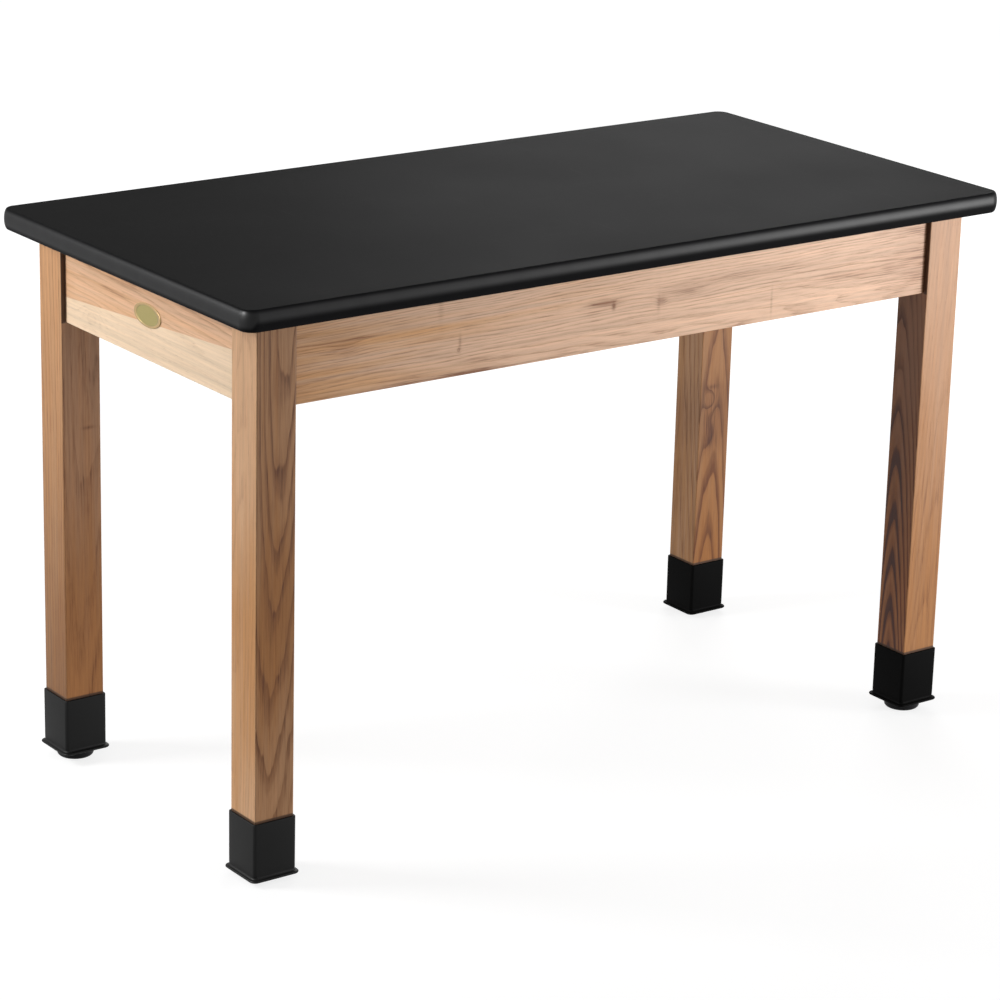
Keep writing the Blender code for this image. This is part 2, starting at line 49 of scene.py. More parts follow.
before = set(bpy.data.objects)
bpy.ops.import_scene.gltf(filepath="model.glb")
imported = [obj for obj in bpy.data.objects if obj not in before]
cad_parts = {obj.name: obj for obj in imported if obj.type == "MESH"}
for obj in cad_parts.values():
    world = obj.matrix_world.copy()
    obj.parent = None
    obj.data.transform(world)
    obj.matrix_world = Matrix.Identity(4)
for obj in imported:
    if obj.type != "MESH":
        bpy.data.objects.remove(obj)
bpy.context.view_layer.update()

CORNERS = ("front_left", "front_right", "rear_right", "rear_left")
CLIPS = ("front_1", "front_2", "rear_1", "rear_2", "left_1", "right_1")

EDGING_LOW, EDGING_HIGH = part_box("worktop_edging")
LAMINATE_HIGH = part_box("worktop_laminate")[1]
APRON_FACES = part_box("apron_right")[1].x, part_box("apron_rear")[1].y
APRON_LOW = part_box("apron_front")[0].z

SHARP_ANGLE = math.radians(32)


# Shapes, each a grid of points over two parameters


def full_turn(steps):
    """That many even angles, once round."""
    return 2 * np.pi * np.arange(steps) / steps


def rounds(radius, height, steps):
    """Rings of points: radius * (cos a, sin a) at each height, for even angles a."""
    turn = full_turn(steps)
    return np.stack(np.broadcast_arrays(radius * np.cos(turn), radius * np.sin(turn), height), -1)


def turned(profile, steps, across_flats=np.inf):
    """A ring at each (radius, height) of the profile, cut to a hexagon where its flats are nearer.

    Their radius in a direction is half the width over the cosine of the angle to the nearest flat.
    """
    sixth = np.pi / 3
    flats = across_flats / 2 / np.cos((full_turn(steps) + sixth / 2) % sixth - sixth / 2)
    radius, height = np.asarray(profile, float).T[:, :, None]
    return rounds(np.minimum(flats, radius), height, steps)


def carried_round(half_x, half_y, radius, height, steps):
    """A profile carried round a rounded rectangle.

    In each quarter the point is the corner's centre, (half_x - radius, half_y - radius) with the
    quarter's signs, plus radius * (cos a, sin a), so that the straight sides span the gaps between arcs.
    """
    quarter, step = np.divmod(np.arange(4 * (steps + 1)), steps + 1)
    turn = (quarter + step / steps) * np.pi / 2
    sign_x = np.where((quarter == 0) | (quarter == 3), 1.0, -1.0)
    sign_y = np.where(quarter < 2, 1.0, -1.0)
    half_x, half_y, radius, height = (
        np.atleast_1d(np.asarray(value, float))[:, None] for value in (half_x, half_y, radius, height)
    )
    x = sign_x * (half_x - radius) + radius * np.cos(turn)
    y = sign_y * (half_y - radius) + radius * np.sin(turn)
    return np.stack(np.broadcast_arrays(x, y, height), -1)


def arc(centre, radii, start, end, steps):
    """Points of an ellipse's arc: centre + (a cos t, b sin t), t from start to end in degrees."""
    turn = np.radians(np.linspace(start, end, steps + 1))
    return np.stack([centre[0] + radii[0] * np.cos(turn), centre[1] + radii[1] * np.sin(turn)], -1)


def threaded(radius, heights, pitch, depth, low, high, steps):
    """A rod with a right-hand thread between two heights.

    Its radius is less by depth * (0.5 + 0.5 cos p)^0.8, where p goes once round for each pitch along the
    helix, and the cut fades out over the first and the last pitch.
    """
    height = np.asarray(heights, float)[:, None]
    along = (height / pitch - full_turn(steps) / (2 * np.pi)) % 1.0
    groove = 0.5 + 0.5 * np.cos(2 * np.pi * along)
    fade = np.clip((height - low) / pitch, 0, 1) * np.clip((high - height) / pitch, 0, 1)
    return rounds(radius - depth * groove**0.8 * fade, height, steps)


def on_diagonal(rings, place, inward):
    """The rings with their +Z laid along the level direction inward, moved to a place."""
    across = np.array([-inward[1], inward[0], 0.0])
    return rings @ np.array([across, [0.0, 0.0, 1.0], inward]) + place


def skin(name, rings, looped):
    """A closed mesh over the grid: quads between neighbouring rings, and a flat face on each open end.

    A looped grid has no end, because its last ring joins its first.
    """
    count, across = rings.shape[:2]
    index = np.arange(count * across).reshape(count, across)
    lower, upper = index, np.roll(index, -1, axis=0)
    if not looped:
        lower, upper = lower[:-1], upper[:-1]
    quads = np.stack([lower, np.roll(lower, -1, 1), np.roll(upper, -1, 1), upper], -1).reshape(-1, 4)
    points = rings.reshape(-1, 3)
    caps = [] if looped else [index[0][::-1].tolist(), index[-1].tolist()]
    a, b, c, d = ((points - points.mean(axis=0))[quads[:, i]] for i in range(4))
    # six times the volume inside is below 0 where the quads face inwards
    if (np.cross(a, b) * c).sum() + (np.cross(a, c) * d).sum() < 0:
        quads = quads[:, ::-1]
        caps = [cap[::-1] for cap in caps]
    mesh = bpy.data.meshes.new(name)
    mesh.from_pydata(points.tolist(), [], quads.tolist() + caps)
    mesh.validate()
    mesh.shade_smooth()
    mesh.set_sharp_from_angle(angle=SHARP_ANGLE)
    return mesh


def new_object(name, data):
    """A new object in the scene."""
    added = bpy.data.objects.new(name, data)
    bpy.context.scene.collection.objects.link(added)
    return added


def add_piece(name, rings, material, node, body="table", looped=False):
    """Make a piece over the rings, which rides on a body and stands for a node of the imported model."""
    piece = new_object(name, skin(name, rings, looped))
    piece.data.materials.append(material)
    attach(piece, body)
    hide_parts(node)


def dress(node, material):
    """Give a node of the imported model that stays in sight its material."""
    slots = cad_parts[node].material_slots
    if not slots:
        raise RuntimeError(f"{node} has no material slot")
    for slot in slots:
        slot.material = material


# Shader maths and materials


class Value:
    """A socket of a material, whose arithmetic adds Math nodes."""

    def __init__(self, made, socket):
        self.made = made
        self.socket = socket

    def maths(self, operation, *others):
        """This value through a Math node of that operation, with the others after it."""
        return self.made.maths(operation, self, *others)

    def __add__(self, other):
        return self.maths("ADD", other)

    def __mul__(self, other):
        return self.maths("MULTIPLY", other)

    __radd__, __rmul__ = __add__, __mul__

    def __sub__(self, other):
        return self.maths("SUBTRACT", other)

    def __rsub__(self, other):
        return self.made.maths("SUBTRACT", other, self)

    def __truediv__(self, other):
        return self.maths("DIVIDE", other)

    def __rtruediv__(self, other):
        return self.made.maths("DIVIDE", other, self)

    def __abs__(self):
        return self.maths("ABSOLUTE")

    def squared(self):
        """This value times itself."""
        return self * self

    def between(self, low, high):
        """0 up to low, 1 from high, and a smooth step between them, which falls where low is over high."""
        values = {"Value": self, "From Min": low, "From Max": high}
        return self.made.out("ShaderNodeMapRange", {"interpolation_type": "SMOOTHSTEP"}, values)


class Finish:
    """A material, or the world, built node by node."""

    def __init__(self, name, owners=bpy.data.materials, shader="Principled BSDF"):
        self.material = owners.new(name)
        self.material.use_nodes = True
        self.tree = self.material.node_tree
        self.shader = self.tree.nodes[shader]

    def add(self, kind, settings, values):
        """A node of any kind: its settings first, then the values or links of its sockets."""
        node = self.tree.nodes.new(kind)
        for key, setting in settings.items():
            if key == "stops":
                self.fill(node.color_ramp, setting)
            else:
                setattr(node, key, setting)
        self.feed(node, values)
        return node

    def fill(self, ramp, stops):
        """Set a ramp's stops, given as (place, grey)."""
        ramp.interpolation = "EASE"
        while len(ramp.elements) < len(stops):
            ramp.elements.new(0.5)
        for element, (place, grey) in zip(ramp.elements, stops):
            element.position = place
            element.color = (grey, grey, grey, 1.0)

    def feed(self, node, values):
        """Set or link sockets of a node by name or number."""
        for key, value in values.items():
            if isinstance(value, Value):
                self.tree.links.new(value.socket, node.inputs[key])
            else:
                node.inputs[key].default_value = value

    def out(self, kind, settings, values, output=0):
        """One output of a new node."""
        return Value(self, self.add(kind, settings, values).outputs[output])

    def maths(self, operation, *terms):
        """A Math node of that operation."""
        return self.out("ShaderNodeMath", {"operation": operation}, dict(enumerate(terms)))

    def seen(self):
        """1 for the camera's own rays and for those that a clear or glossy surface sends on, else 0."""
        outputs = self.add("ShaderNodeLightPath", {}, {}).outputs
        kinds = ("Is Camera Ray", "Is Glossy Ray", "Is Transmission Ray")
        camera, glossy, sent = (Value(self, outputs[kind]) for kind in kinds)
        return camera.maths("MAXIMUM", glossy).maths("MAXIMUM", sent)

    def place(self):
        """Where the surface is, in the object's own coordinates."""
        return self.out("ShaderNodeTexCoord", {}, {}, "Object")

    def split(self, vector):
        """The three parts of a vector."""
        node = self.add("ShaderNodeSeparateXYZ", {}, {0: vector})
        return [Value(self, socket) for socket in node.outputs]

    def join(self, *parts):
        """A vector from its three parts."""
        return self.out("ShaderNodeCombineXYZ", {}, dict(enumerate(parts)))

    def mapped(self, vector, scale, move=(0.0, 0.0, 0.0)):
        """The vector scaled along each axis, and then moved."""
        return self.out("ShaderNodeMapping", {}, {"Vector": vector, "Location": move, "Scale": scale})

    def noise(self, vector, scale, seed=0.0, detail=2.0, roughness=0.5):
        """Noise from 0 to 1 with its own scale along each axis, moved to a place of its own by the seed."""
        values = {
            "Vector": self.mapped(vector, scale, (seed, 1.7 * seed, 0.6 * seed)),
            "Scale": 1.0,
            "Detail": detail,
            "Roughness": roughness,
        }
        return self.out("ShaderNodeTexNoise", {}, values, "Fac")

    def cells(self, vector, scale, output="Distance", feature="F1"):
        """A pattern of cells: the distance to each one's centre or edge, or its own colour."""
        values = {"Vector": self.mapped(vector, scale), "Scale": 1.0}
        return self.out("ShaderNodeTexVoronoi", {"feature": feature}, values, output)

    def mix(self, share, first, second, blend="MIX"):
        """Two colours mixed, or blended, by a share."""
        settings = {"data_type": "RGBA", "blend_type": blend}
        values = {0: share, 6: with_alpha(first), 7: with_alpha(second)}
        return self.out("ShaderNodeMix", settings, values, 2)

    def brightened(self, colour, share):
        """A colour times a value."""
        return self.out("ShaderNodeVectorMath", {"operation": "SCALE"}, {0: colour, "Scale": share})

    def bump(self, height, distance, strength=1.0):
        """The normal of a surface raised by a height, times a distance in metres."""
        values = {"Strength": strength, "Distance": distance, "Height": height}
        return self.out("ShaderNodeBump", {}, values)

    def shade(self, **values):
        """Feed the shader's sockets, named with underscores, and return the material."""
        self.feed(self.shader, {key.replace("_", " "): value for key, value in values.items()})
        return self.material


def with_alpha(colour):
    """A colour with an alpha of 1 added, or a socket as it is."""
    return colour if isinstance(colour, Value) else (*colour, 1.0)


# Ash boards


class Board(NamedTuple):
    """How one board was cut and coloured. What isn't given is that of a hidden apron.

    Its axes u, v and w run across its figured face, into it, and along the grain, in metres from its
    middle. The rings go round the pith, which drifts by (u, v) for each metre along w. Ring is their
    width, wave how far they wander, and point sharpens their arcs, or blunts them below 0.

    Figure and fibre are the strengths of the dark bands and of the pores' dashes, for the quiet faces,
    cut across the rings, and the figured ones, cut along them. Quiet and figured are those faces' tints,
    and fade is how much lighter they get for each metre along w. Warm is how warm the board is at the
    height of its second value, and how much less so for each metre away.

    A knot is (u, w, width, length, darkness), with its pull on the rings if it has one. The sapwood lies
    below its first value along u, which changes by its second for each metre along w. The rings show
    weakly above calm's first height, and fully below its second. Deep darkens them near the pith on the
    figured faces.
    """

    pith: tuple
    drift: tuple
    warm: tuple
    seed: float
    axes: str = "xyz"
    ring: float = 0.0042
    wave: float = 0.01
    point: float = 0.0
    figure: tuple = (0.4, 0.55)
    fibre: tuple = (0.5, 0.55)
    quiet: tuple = (1.0, 1.0, 1.0)
    figured: tuple = (1.1, 1.12, 1.12)
    fade: tuple = (0.0, 0.0)
    knots: tuple = ()
    sapwood: tuple = (-1.0, 0.0)
    calm: tuple = (2.0, 1.0)
    deep: float = 0.0


BOARDS = {
    "leg_front_left": Board(
        pith=(-0.0005, 0.012), drift=(0.045, -0.05), ring=0.0054, point=-0.045, wave=0.012,
        figure=(0.16, 1.1), fibre=(0.3, 0.9), warm=(0.85, -0.03, 2.2), quiet=(1.03, 0.97, 0.84),
        figured=(0.59, 0.5, 0.39), fade=(-0.15, -0.2), seed=1.3,
    ),
    "leg_rear_left": Board(
        pith=(0.004, 0.06), drift=(0.06, -0.03), ring=0.006, wave=0.009,
        figure=(0.45, 0.35), fibre=(0.7, 0.75), warm=(1.25, -0.35, 2.0), quiet=(0.68, 0.57, 0.4),
        figured=(0.62, 0.52, 0.43), fade=(0.8, -0.8), seed=4.1,
        knots=((0.01, 0.092, 0.009, 0.0025, 0.9, 0.002),),
    ),
    "leg_front_right": Board(
        axes="yxz", pith=(0.0115, 0.0183), drift=(0.03, 0.065), ring=0.0048, point=0.06, wave=0.005,
        figure=(0.3, 2.6), fibre=(0.6, 0.9), warm=(1.25, -0.35, 2.1), quiet=(0.78, 0.68, 0.59),
        figured=(0.61, 0.47, 0.42), fade=(0.1, -0.35), seed=7.7, calm=(0.14, -0.06), deep=1.6,
    ),
    "leg_rear_right": Board(
        pith=(0.002, 0.03), drift=(0.02, 0.075), ring=0.0085, point=0.12, wave=0.011,
        figure=(0.6, 1.4), fibre=(0.8, 0.6), warm=(0.8, -0.3, 1.0), quiet=(0.68, 0.64, 0.59),
        figured=(0.66, 0.52, 0.335), fade=(-0.2, 0.0), seed=9.2,
        knots=(
            (-0.008, -0.036, 0.011, 0.015, 0.15, 0.012), (-0.005, -0.016, 0.011, 0.0035, 0.9),
            (-0.006, -0.092, 0.009, 0.018, 1.2, 0.005), (0.0, -0.06, 0.05, 0.05, 0.85),
            (-0.03, 0.25, 0.01, 0.12, 0.8),
        ),
    ),
    "apron_front": Board(
        axes="zyx", pith=(-0.07, 0.08), drift=(0.05, 0.03), ring=0.0031, wave=0.015,
        figure=(0.3, 0.5), fibre=(0.5, 0.58), warm=(0.64, -0.54, 1.4),
        figured=(1.215, 1.27, 1.38), fade=(0.0, 0.19), seed=12.4,
        knots=(
            (0.004, -0.44, 0.012, 0.022, 0.5, 0.003), (-0.023, -0.27, 0.003, 0.003, 0.9, 0.004),
            (0.015, -0.43, 0.0018, 0.05, 1.0), (-0.012, -0.268, 0.01, 0.002, 0.8),
            (0.006, -0.04, 0.0036, 0.026, 1.5, 0.004), (0.0, -0.026, 0.005, 0.003, 1.3),
            (-0.003, 0.053, 0.006, 0.008, 0.9, 0.005), (-0.006, 0.048, 0.012, 0.0026, 0.5),
            (0.004, 0.095, 0.009, 0.05, 0.5, 0.003), (0.014, 0.2, 0.006, 0.12, 0.6),
            (-0.012, 0.38, 0.007, 0.09, 0.6), (-0.056, -0.245, 0.005, 0.03, 2.2, 0.002),
            (-0.057, -0.33, 0.005, 0.11, 1.5), (0.034, -0.298, 0.016, 0.004, 0.35),
            # (0.0, 0.54, ...) is no knot but painted shade that dims the right end, near the right light;
            # (0.0, -0.53, ...) darkens the left end broadly.
            (-0.03, 0.24, 0.018, 0.0018, 0.5), (0.0, 0.54, 0.09, 0.1, 1.05),
            (0.0, -0.53, 0.09, 0.07, 0.3),
        ),
    ),
    "apron_right": Board(
        axes="zxy", pith=(-0.06, -0.08), drift=(0.05, 0.03), warm=(0.4, 0.2, 1.0), seed=15.8,
    ),
    "apron_rear": Board(
        axes="zyx", pith=(0.06, -0.08), drift=(-0.04, 0.03), warm=(0.5, 0.4, 0.8), seed=18.9,
    ),
    "apron_left": Board(
        axes="zxy", pith=(0.08, 0.07), drift=(0.03, 0.03), ring=0.0052, wave=0.011,
        figure=(0.3, 0.45), fibre=(0.4, 0.34), warm=(0.38, 0.2, 1.0),
        figured=(1.2, 1.2, 1.18), seed=21.5,
        knots=(
            (-0.03, 0.14, 0.014, 0.026, 0.12, 0.016), (0.03, 0.06, 0.005, 0.07, 0.45),
            (0.036, -0.13, 0.006, 0.1, 0.7), (0.014, 0.11, 0.004, 0.11, 0.45),
            (0.022, -0.09, 0.004, 0.08, 0.4), (-0.04, -0.06, 0.004, 0.09, 0.15),
        ),
        sapwood=(-0.0068, -0.07),
    ),
}


# How dark a ring is, from its inner edge to its outer one, as (share of its width, darkness)
RING_TONES = ((0.0, 0.2), (0.07, 1.0), (0.26, 0.62), (0.48, 0.14), (0.8, 0.04), (1.0, 0.2))
# How far the sapwood's rings shift, half the blur where two looks meet, and how wide a worn edge is
SAPWOOD_SHIFT, BORDER, WEAR = 0.07, 0.0004, 0.0012


def ring_numbers(made, board, u, v, w, strip):
    """A point's ring number, its distance from the pith along u, and how dark knots make it.

    The number is the distance from the pith, sqrt(du^2 + dv^2) + point * |du|, over a ring's width. Knots
    add to the distance, and noise makes the rings wander, ripples them and varies their width. In the
    sapwood's strip they shift.
    """
    where = made.join(u, v, w)
    wander = made.noise(where, (5, 5, 1.8), board.seed, 1.0) - 0.5
    across = u - board.pith[0] - board.drift[0] * w - wander * board.wave + strip * SAPWOOD_SHIFT
    through = v - board.pith[1] - board.drift[1] * w - wander * (0.6 * board.wave)
    distance = (across.squared() + through.squared()).maths("SQRT") + board.point * abs(across)
    dark = 0.0
    for knot_u, knot_w, width, length, shade, *pulls in board.knots:
        spread = ((u - knot_u) / width).squared() + ((w - knot_w) / length).squared()
        lump = (spread * -1.0).maths("EXPONENT")
        dark = lump * shade + dark
        for pull in pulls:
            distance = distance + lump * pull
    ripple = (made.noise(where, (55, 55, 6), board.seed + 3, 2.0) - 0.5) * (0.6 * board.wave)
    uneven = made.noise(made.join(distance, 0.0, 0.0), (70, 1, 1), board.seed + 7, 1.0) * 0.9
    return (distance + ripple) / board.ring + uneven, across, dark


def leg_shade_and_dirt(parts, low, high, rim):
    """Shares of painted shade over the boot's rim, and of painted shade and dirt in the corners by the
    aprons.
    """
    up = parts[2]
    # Painted shade just above the boot's rim: a broad darkening, and a dark line in the shadow gap.
    shade_and_stain = up.between(rim + 0.005, rim + 0.0005) * 0.65
    shade_and_dirt = up.between(rim + 0.0042, rim + 0.0024)
    # Painted shade, partly dirt, on the strips of the leg's faces beside the aprons, where the reveal lies
    # in shade.
    for near, far in ((0, 1), (1, 0)):
        inner = min(abs(low[near]), abs(high[near]))
        face = APRON_FACES[far]
        beside = abs(parts[near]).between(inner + 0.0012, inner + 0.0002)
        beside = beside * abs(parts[far]).between(face - 0.0005, face + 0.0005)
        shade_and_dirt = shade_and_dirt.maths("MAXIMUM", beside * up.between(APRON_LOW - 0.002, APRON_LOW))
    return shade_and_stain, shade_and_dirt


def apron_shade_and_dirt(w, half_length):
    """Shares of painted shade, partly dirt, at an apron's two ends, in the shadow gap beside the legs."""
    end = abs(w)
    # Painted shade with some dirt: a broad darkening and a darker line at each end.
    shade_and_stain = end.between(half_length - 0.005, half_length - 0.001) * 0.95
    return shade_and_stain, end.between(half_length - 0.0016, half_length - 0.0006) * 0.7


def ash(name, colours, rim=None):
    """Clear-finished ash whose growth rings run through the whole board.

    The fraction of a ring number gives the dark band of open pores at the ring's start. Long thin noise
    gives the fibres and the pores' dashes. A face counts as figured where a point is nearer to the board's
    faces along v than to those along u. A leg has the height of its boot's rim.
    """
    made = Finish("ash_" + name)
    board = BOARDS[name]
    low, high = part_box(name)
    order = ["xyz".index(axis) for axis in board.axes]
    parts = made.split(made.place())
    u, v, w = (parts[i] - (low[i] + high[i]) / 2 for i in order)
    half_u, half_v, half_w = ((high[i] - low[i]) / 2 for i in order)
    where = made.join(u, v, w)
    figured = (abs(v) - abs(u)).between(half_v - half_u - BORDER, half_v - half_u + BORDER)
    strip = (u - board.sapwood[1] * w - board.sapwood[0]).between(BORDER, -BORDER)

    def paired(pair):
        """The quiet faces' value, and the figured ones'."""
        return pair[0] + (pair[1] - pair[0]) * figured

    rings, across, dark = ring_numbers(made, board, u, v, w, strip)
    year = made.out("ShaderNodeTexWhiteNoise", {"noise_dimensions": "1D"}, {"W": rings.maths("FLOOR")})
    early = made.out("ShaderNodeValToRGB", {"stops": RING_TONES}, {0: rings.maths("FRACT")})
    fibre = made.noise(where, (330, 330, 8), board.seed + 11, 3.0, 0.65)
    dashes = made.noise(where, (560, 560, 20), board.seed + 12, 2.0, 0.5).between(0.44, 0.74)
    streak = made.noise(where, (110, 110, 1.5), board.seed + 13, 2.0)
    cloud = made.noise(where, (18, 18, 3.0), board.seed + 17, 2.0)
    pores = made.noise(where, (2300, 2300, 70), board.seed + 19, 1.0).between(0.56, 0.7)
    pores = pores * (0.25 + 0.75 * early)

    most, centre, loss = board.warm
    warm = most - loss * abs(w - centre) + (cloud - 0.5) * 1.4 + (streak - 0.5) * 1.2
    base = made.mix(warm.between(0.0, 1.0), colours.tan, colours.honey)
    base = made.mix(1.0, base, made.mix(figured, board.quiet, board.figured), "MULTIPLY")
    base = made.mix(strip, base, colours.sapwood)
    weak = (1.0 - 0.72 * strip) * (0.3 + 0.7 * w.between(*board.calm))
    figure = early * (0.4 + 0.6 * year) * (0.45 + 0.75 * fibre) * paired(board.figure) * weak
    near = abs(across).between(0.026, 0.004) * board.deep
    dashed = dashes * (0.3 + 0.7 * early) * paired(board.fibre) * weak
    for share, tint in (
        (figure, colours.band),
        (figure * figured * near, colours.band),
        (dashed, colours.band),
        (pores * 0.4, colours.pore),
        (dark * (0.25 + 0.5 * fibre + 0.6 * dashes), colours.pore),
    ):
        base = made.mix(share, base, tint, "MULTIPLY")
    light = 0.52 + paired(board.fade) * w + 0.42 * streak + 0.46 * fibre + 0.14 * cloud
    base = made.brightened(base, light)

    rubbed = abs(u).between(half_u - WEAR, half_u) * abs(v).between(half_v - WEAR, half_v)
    # Painted shade, partly dirt, over the boots' rims and where aprons and legs meet.
    shade_and_stain, shade_and_dirt = leg_shade_and_dirt(parts, low, high, rim) if rim else apron_shade_and_dirt(w, half_w)
    base = made.mix(rubbed * 0.35, base, colours.rubbed)
    base = made.mix(shade_and_stain, base, colours.pore, "MULTIPLY")
    base = made.mix(shade_and_dirt * 0.85, base, colours.shade_and_grime)
    height = 0.5 * fibre + 0.5 * (1.0 - pores) + 0.3 * (1.0 - dashes)
    return made.shade(
        Base_Color=base,
        Roughness=0.42 + 0.1 * fibre + 0.15 * pores - 0.08 * rubbed,
        Coat_Weight=0.06,
        Coat_Roughness=0.25,
        Specular_IOR_Level=0.25,
        Normal=made.bump(height, 0.00012, 0.6),
    )


# Other finishes


def laminate_finish(name, colour, roughness):
    """Matt laminate: a fine suede grain, faint cloudiness, and hair-thin rub marks in two directions."""
    made = Finish(name)
    where = made.place()
    grain = made.noise(where, (900, 900, 900), 2.0, 2.0, 0.6)
    cloud = made.noise(where, (5, 5, 5), 6.0, 3.0)
    rubs = made.noise(where, (9, 700, 9), 4.0, 2.0).between(0.66, 0.74)
    rubs = rubs + made.noise(where, (600, 12, 9), 8.0, 2.0).between(0.67, 0.75)
    return made.shade(
        Base_Color=made.brightened(colour, 0.92 + 0.1 * cloud + 0.1 * grain + 0.1 * rubs),
        Roughness=roughness + 0.08 * cloud + 0.06 * grain - 0.05 * rubs,
        Specular_IOR_Level=0.0065,
        Normal=made.bump(grain, 0.00005, 0.5),
    )


def moulded_finish(name, colour, roughness, grain_scale, grain_depth, specular, sheen_heights=None):
    """Moulded black plastic or rubber: an even grain, a cloudy bloom, and pale scuffs.

    A painted sheen lies as a coat on the band between the two sheen heights, over its middle and upper
    part, but not at its lips, and at the left end nearly down to the lower lip.
    """
    made = Finish(name)
    where = made.place()
    grain = made.noise(where, (grain_scale,) * 3, 3.0, 3.0, 0.6)
    bloom = made.noise(where, (35, 35, 20), 5.0, 3.0)
    scuff = made.noise(where, (60, 60, 420), 9.0, 3.0, 0.7).between(0.64, 0.78)
    tone = 0.88 + 0.18 * bloom + 0.08 * grain + 0.5 * scuff
    if sheen_heights:
        low, high = sheen_heights
        # Painted sheen: a coat weight placed by height, so that reflections show over the band's middle.
        along, _, up = made.split(where)
        height = (up - low) / (high - low)
        left = along.between(EDGING_LOW.x + 0.016, EDGING_LOW.x + 0.008)
        lower = height.between(0.32 - 0.24 * left, 0.62 - 0.3 * left)
        shine = lower * height.between(1.0, 0.8) * (0.28 + 0.08 * bloom)
        made.shade(Coat_Weight=shine, Coat_Roughness=0.4)
    return made.shade(
        Base_Color=made.brightened(colour, tone),
        Roughness=roughness + 0.1 * bloom + 0.05 * grain + 0.08 * scuff,
        Specular_IOR_Level=specular,
        Normal=made.bump(grain + 0.3 * bloom, grain_depth, 0.6),
    )


def zinc_finish(name, colour):
    """Zinc-plated steel: faint crystals, drawn lines, and patches that are yellowed and duller."""
    made = Finish(name)
    where = made.place()
    crystal = made.cells(where, (260, 260, 260), "Distance", "SMOOTH_F1")
    drawn = made.noise(where, (1500, 1500, 60), 2.0, 2.0)
    patch = made.noise(where, (45, 45, 45), 6.0, 3.0)
    yellowed = (0.62, 0.56, 0.42)
    base = made.mix(patch.between(0.35, 0.75), colour, yellowed)
    return made.shade(
        Base_Color=made.brightened(base, 0.78 + 0.22 * crystal + 0.14 * drawn),
        Metallic=1.0,
        Roughness=0.28 + 0.16 * patch + 0.1 * drawn,
        Normal=made.bump(drawn + crystal, 0.00003, 0.6),
    )


def chipboard_finish(name, colour):
    """Particleboard: flat chips of several tones in a resin that shows darker between them."""
    made = Finish(name)
    where = made.place()
    flat = (260, 260, 900)
    tone = made.split(made.cells(where, flat, "Color"))[0]
    gaps = made.cells(where, flat, "Distance", "DISTANCE_TO_EDGE").between(0.1, 0.0)
    pale_chip, resin = (0.62, 0.47, 0.3), (0.12, 0.07, 0.04)
    base = made.mix(gaps * 0.6, made.mix(tone, colour, pale_chip), resin)
    return made.shade(Base_Color=base, Roughness=0.85, Normal=made.bump(tone + gaps, 0.0002, 0.6))


def brass_finish(name, field, rim, centre, half_along, half_up):
    """A lacquered brass oval: fine brushing, a darker line inside a warm rim, and dull spots.

    The share of the way from its centre to its edge is sqrt((y / half_along)^2 + (z / half_up)^2).
    """
    made = Finish(name)
    where = made.mapped(made.place(), (1.0, 1.0, 1.0), tuple(-part for part in centre))
    _, along, up = made.split(where)
    across = ((along / half_along).squared() + (up / half_up).squared()).maths("SQRT")
    brushed = made.noise(where, (60, 60, 3500), 2.0, 2.0)
    spots = made.noise(where, (420, 420, 420), 7.0, 3.0).between(0.58, 0.75)
    line = across.between(0.76, 0.79) * across.between(0.84, 0.81)
    dark_line, dull = (0.16, 0.13, 0.05), (0.3, 0.24, 0.12)
    base = made.mix(across.between(0.8, 0.84), field, rim)
    base = made.mix(line * 0.5, base, dark_line)
    base = made.mix(spots * 0.4, base, dull)
    return made.shade(
        Base_Color=made.brightened(base, 0.85 + 0.25 * brushed),
        Metallic=0.55,
        Roughness=0.38 + 0.12 * brushed + 0.12 * spots,
        Coat_Weight=0.1,
        Normal=made.bump(brushed, 0.00003, 0.5),
    )


# What a user would change


def number(name, description, default, unit="LENGTH"):
    """A property that holds a number from 0 up."""
    return bpy.props.FloatProperty(
        name=name, description=description, default=default, min=0.0, precision=5, unit=unit
    )


def colour(name, description, default):
    """A property that holds a colour."""
    return bpy.props.FloatVectorProperty(
        name=name, description=description, default=default, subtype="COLOR"
    )


class LabTableSizes(bpy.types.PropertyGroup):
    """Sizes of the details that the new pieces add."""

    corner_radius: number("Corner Radius", "Radius of the worktop's corners", 0.0195)
    crown: number("Edging Crown", "How far the edging's dome stands out", 0.0046)
    lip_ease: number("Lip Ease", "Rounding of the edging where it meets the laminate", 0.0005)
    boot_corner: number("Boot Corner", "Radius of a boot's upright corners", 0.004)
    flange_corner: number("Flange Corner", "Radius of a boot's lower rim in plan", 0.008)
    glide_pitch: number("Glide Pitch", "Pitch of a glide's thread", 0.0015875)
    bolt_pitch: number("Bolt Pitch", "Pitch of a hanger bolt's thread", 0.0014111)
    plate_rim: number("Plate Rim", "Width of the oval plate's raised rim", 0.0026)


